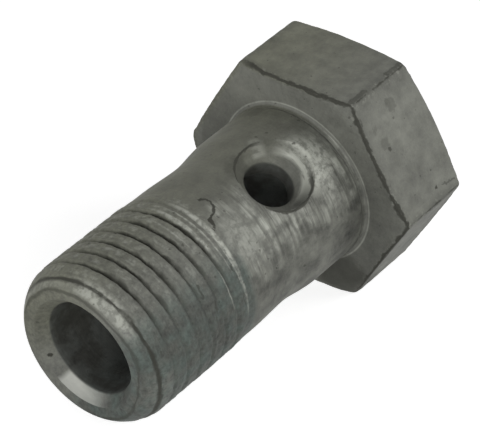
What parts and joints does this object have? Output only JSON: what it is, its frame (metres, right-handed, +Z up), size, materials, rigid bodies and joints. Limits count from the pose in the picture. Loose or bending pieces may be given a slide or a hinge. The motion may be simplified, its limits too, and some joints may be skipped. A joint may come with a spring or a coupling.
{
  "type": "banjo bolt",
  "caption": "Hollow hexagon-head bolt, cross-drilled under the head, that clamps a ring-shaped banjo fitting to a threaded port and carries fluid through it.",
  "frame": {"origin": "centre of the bearing face under the head, on the bolt's axis", "axes": "+Z is up as the bolt lies on one flat of its head and its threaded end. The bolt's axis is in the XZ plane, with the head towards +X and the threaded end towards -X and 6.22 degrees lower. +Y runs from one side corner of the hexagon to the other."},
  "size_m": [0.0354, 0.022, 0.0197],
  "materials": {
    "plated_steel": "dull zinc-plated steel with faint turning marks, small pits and dark grime in the thread roots and along the hexagon's edges"
  },
  "bodies": {
    "root": {"banjo_bolt": "plated_steel"}
  },
  "joints": []
}
